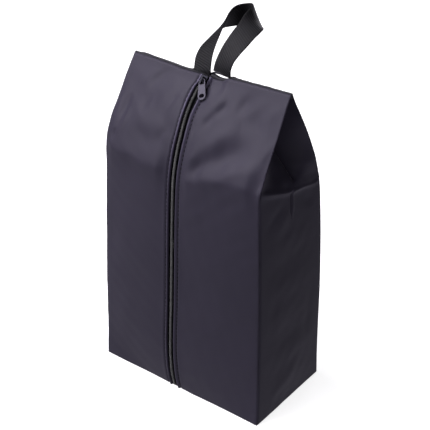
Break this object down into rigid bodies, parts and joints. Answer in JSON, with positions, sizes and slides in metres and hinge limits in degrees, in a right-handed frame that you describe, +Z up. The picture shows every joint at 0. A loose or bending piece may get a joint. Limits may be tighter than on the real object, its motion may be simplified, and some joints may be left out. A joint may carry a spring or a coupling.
{
  "type": "shoe bag",
  "caption": "Upright zipped fabric bag for shoes, with a flat base, gable top, folding side gussets and a webbing carry loop.",
  "frame": {"origin": "middle of the base, on the surface that the bag stands on", "axes": "+X to the bag's right along its front, +Y to its back, +Z up; the zip is in the plane X = 0 and the front faces -Y"},
  "size_m": [0.22, 0.147, 0.4192],
  "materials": {
    "shell_fabric": "coated plain-weave nylon, dull sheen",
    "webbing": "woven flat webbing",
    "zip_tape": "woven tape",
    "zip_coil": "nylon coil",
    "binding_tape": "woven binding tape",
    "thread": "twisted thread",
    "slider_metal": "dark lacquered zinc"
  },
  "bodies": {
    "bag": {"front_panel_left": "shell_fabric", "side_gusset_left": "shell_fabric", "zip_tape_left": "zip_tape", "zip_coil_left": "zip_coil", "zip_stitching_left": "thread", "seam_binding_front_left": "binding_tape", "seam_binding_back_left": "binding_tape", "front_panel_right": "shell_fabric", "side_gusset_right": "shell_fabric", "zip_tape_right": "zip_tape", "zip_coil_right": "zip_coil", "zip_stitching_right": "thread", "seam_binding_front_right": "binding_tape", "seam_binding_back_right": "binding_tape", "back_panel": "shell_fabric", "bottom_panel": "shell_fabric", "bottom_binding": "binding_tape", "ridge_binding": "binding_tape"},
    "slider": {"slider_body": "slider_metal"},
    "pull": {"pull_tab": "slider_metal"},
    "handle": {"handle_strap": "webbing"}
  },
  "joints": [
    {"name": "zip_travel", "type": "hinge", "parent": "bag", "child": "slider", "pos_m": [0, 0.37367, 0.11645], "axis": [1, 0, 0], "range_deg": [0, 42.3]},
    {"name": "tab_swing", "type": "hinge", "parent": "slider", "child": "pull", "pos_m": [0, -0.0129, 0.35394], "axis": [-0.9272, -0.1961, -0.3192], "range_deg": [0, 110]},
    {"name": "handle_flop", "type": "hinge", "parent": "bag", "child": "handle", "pos_m": [0, 0, 0.3616], "axis": [1, 0, 0], "range_deg": [-50, 85]}
  ]
}
